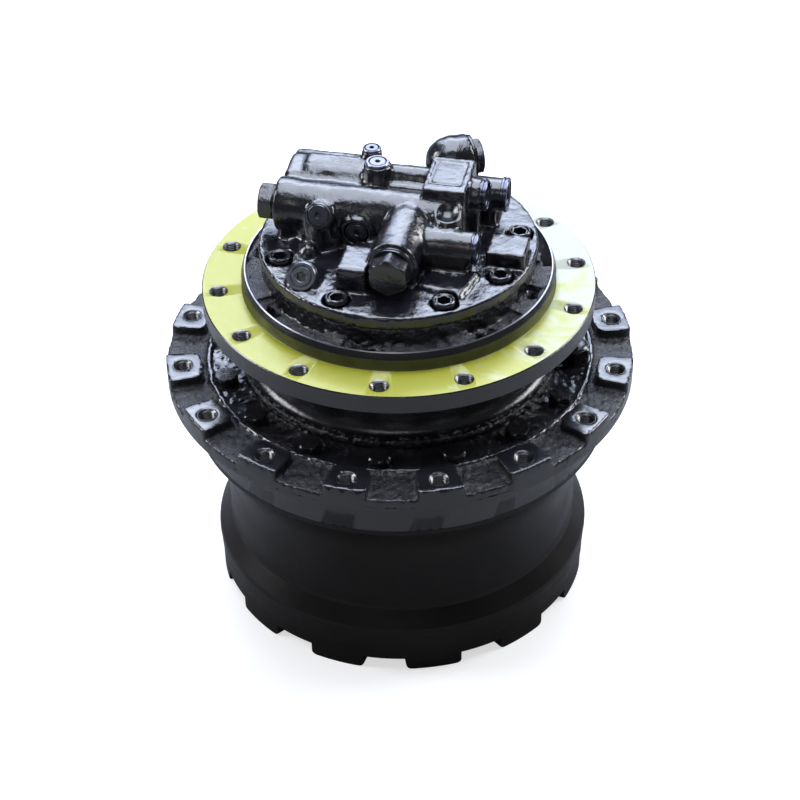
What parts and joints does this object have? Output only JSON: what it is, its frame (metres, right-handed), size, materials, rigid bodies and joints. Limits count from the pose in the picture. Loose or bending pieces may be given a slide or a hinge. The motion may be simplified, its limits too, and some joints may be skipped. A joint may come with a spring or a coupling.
{
  "type": "excavator final drive",
  "caption": "Hydraulic track drive with an axial piston motor, two planetary reductions, a bolted frame flange and a rotating sprocket hub.",
  "frame": {"origin": "centre of the frame bolt circle on the machined frame face", "axes": "+Z along the drive axis toward the valve head; +X lies between two frame bolts, and the ports leave near +X"},
  "size_m": [0.5299, 0.53, 0.5195],
  "materials": {
    "case_casting": "gloss black paint; the frame face and pilot are machined and oiled",
    "head_casting": "gloss black paint over cast iron",
    "hub_casting": "gloss black paint, rough cast between machined pads",
    "gear_case": "satin warm black paint over turned iron",
    "cover_casting": "satin black paint over cast iron",
    "black_screws": "black painted steel",
    "hub_fasteners": "black painted steel",
    "cap_steel": "black painted steel",
    "plug_steel": "thinly painted steel",
    "bearing_steel": "ground",
    "cage_steel": "pressed",
    "seal_iron": "lapped",
    "rubber": "matt",
    "gear_steel": "oiled, hardened",
    "carrier_iron": "machined",
    "shaft_steel": "ground",
    "bronze": "machined bronze",
    "friction": "steel plate with a paper lining",
    "plate_steel": "flat ground",
    "spring_steel": "shot peened"
  },
  "bodies": {
    "case": {"motor_case": "case_casting", "valve_head": "head_casting", "head_screws": "black_screws", "spool_cap_left": "cap_steel", "spool_cap_right": "cap_steel", "relief_cap_front": "cap_steel", "relief_cap_rear": "cap_steel", "control_plug": "plug_steel", "bleed_plug": "plug_steel", "pilot_plug": "plug_steel", "drain_plug_upper": "plug_steel", "test_plug": "plug_steel", "valve_plate": "bronze", "brake_steel_plates": "plate_steel", "brake_spring": "spring_steel", "bearing_inner_upper": "bearing_steel", "bearing_inner_lower": "bearing_steel", "bearing_spacer": "bearing_steel", "seal_ring_case": "seal_iron", "load_ring_case": "rubber", "planet_carrier_2": "carrier_iron", "carrier_screws": "black_screws", "planet_pins_2": "gear_steel", "shaft_bearing": "bronze", "shaft_seal": "rubber"},
    "hub": {"hub": "hub_casting", "hub_bolts": "hub_fasteners", "index_bolt": "hub_fasteners", "ring_gear": "gear_case", "cover": "cover_casting", "cover_screws": "black_screws", "cover_plugs": "plug_steel", "bearing_outer_upper": "bearing_steel", "bearing_outer_lower": "bearing_steel", "seal_ring_hub": "seal_iron", "load_ring_hub": "rubber"},
    "roller_sets": {"bearing_cages": "cage_steel", "bearing_rollers": "bearing_steel"},
    "motor_shaft": {"drive_shaft": "shaft_steel", "cylinder_block": "shaft_steel", "pistons": "shaft_steel", "retainer_plate": "shaft_steel", "friction_plates": "friction", "sun_gear_1": "gear_steel"},
    "carrier_1": {"planet_carrier_1": "carrier_iron", "planet_pins_1": "gear_steel", "sun_gear_2": "gear_steel"},
    "swash": {"swash_plate": "shaft_steel"},
    "servo": {"servo_piston": "shaft_steel"},
    "brake": {"brake_piston": "shaft_steel"},
    "spool": {"counterbalance_spool": "shaft_steel"},
    "planet_2_1": {"planet_2_1": "gear_steel"},
    "planet_2_2": {"planet_2_2": "gear_steel"},
    "planet_2_3": {"planet_2_3": "gear_steel"},
    "planet_2_4": {"planet_2_4": "gear_steel"},
    "planet_1_1": {"planet_1_1": "gear_steel"},
    "planet_1_2": {"planet_1_2": "gear_steel"},
    "planet_1_3": {"planet_1_3": "gear_steel"}
  },
  "joints": [
    {"name": "hub_spin", "type": "hinge", "parent": "case", "child": "hub", "pos_m": [0, 0, 0], "axis": [0, 0, 1], "continuous": true},
    {"name": "roller_orbit", "type": "hinge", "parent": "case", "child": "roller_sets", "pos_m": [0, 0, 0], "axis": [0, 0, 1], "continuous": true},
    {"name": "carrier_1_spin", "type": "hinge", "parent": "case", "child": "carrier_1", "pos_m": [0, 0, 0], "axis": [0, 0, 1], "continuous": true},
    {"name": "planet_2_1_spin", "type": "hinge", "parent": "case", "child": "planet_2_1", "pos_m": [0.115, 0, -0.28], "axis": [0, 0, 1], "continuous": true},
    {"name": "planet_2_2_spin", "type": "hinge", "parent": "case", "child": "planet_2_2", "pos_m": [0, 0.115, -0.28], "axis": [0, 0, 1], "continuous": true},
    {"name": "planet_2_3_spin", "type": "hinge", "parent": "case", "child": "planet_2_3", "pos_m": [-0.115, 0, -0.28], "axis": [0, 0, 1], "continuous": true},
    {"name": "planet_2_4_spin", "type": "hinge", "parent": "case", "child": "planet_2_4", "pos_m": [0, -0.115, -0.28], "axis": [0, 0, 1], "continuous": true},
    {"name": "planet_1_1_spin", "type": "hinge", "parent": "carrier_1", "child": "planet_1_1", "pos_m": [0.1125, 0, -0.331], "axis": [0, 0, 1], "continuous": true},
    {"name": "planet_1_2_spin", "type": "hinge", "parent": "carrier_1", "child": "planet_1_2", "pos_m": [-0.05625, 0.09743, -0.331], "axis": [0, 0, 1], "continuous": true},
    {"name": "planet_1_3_spin", "type": "hinge", "parent": "carrier_1", "child": "planet_1_3", "pos_m": [-0.05625, -0.09743, -0.331], "axis": [0, 0, 1], "continuous": true},
    {"name": "input_spin", "type": "hinge", "parent": "case", "child": "motor_shaft", "pos_m": [0, 0, 0], "axis": [0, 0, 1], "continuous": true},
    {"name": "swash_tilt", "type": "hinge", "parent": "case", "child": "swash", "pos_m": [0, 0, -0.0805], "axis": [1, 0, 0], "range_deg": [0, 7]},
    {"name": "servo_stroke", "type": "slide", "parent": "case", "child": "servo", "axis": [0, 0, 1], "range_m": [0, 0.0089]},
    {"name": "brake_release", "type": "slide", "parent": "case", "child": "brake", "axis": [0, 0, 1], "range_m": [0, 0.0025], "stiffness_N_per_m": 60000, "springref_m": -0.002, "deforming": ["brake_spring"]},
    {"name": "spool_shift", "type": "slide", "parent": "case", "child": "spool", "axis": [0.9744, -0.225, 0], "range_m": [-0.006, 0.006], "stiffness_N_per_m": 6000}
  ],
  "couplings": [
    {"joint": "roller_orbit", "follows": "hub_spin", "ratio": 0.52348},
    {"joint": "carrier_1_spin", "follows": "hub_spin", "ratio": -3.8421},
    {"joint": "planet_2_1_spin", "follows": "hub_spin", "ratio": 2.7037},
    {"joint": "planet_2_2_spin", "follows": "hub_spin", "ratio": 2.7037},
    {"joint": "planet_2_3_spin", "follows": "hub_spin", "ratio": 2.7037},
    {"joint": "planet_2_4_spin", "follows": "hub_spin", "ratio": 2.7037},
    {"joint": "planet_1_1_spin", "follows": "hub_spin", "ratio": 12.624},
    {"joint": "planet_1_2_spin", "follows": "hub_spin", "ratio": 12.624},
    {"joint": "planet_1_3_spin", "follows": "hub_spin", "ratio": 12.624},
    {"joint": "input_spin", "follows": "hub_spin", "ratio": -24.635},
    {"joint": "servo_stroke", "follows": "swash_tilt", "m_per_rad": 0.072}
  ]
}
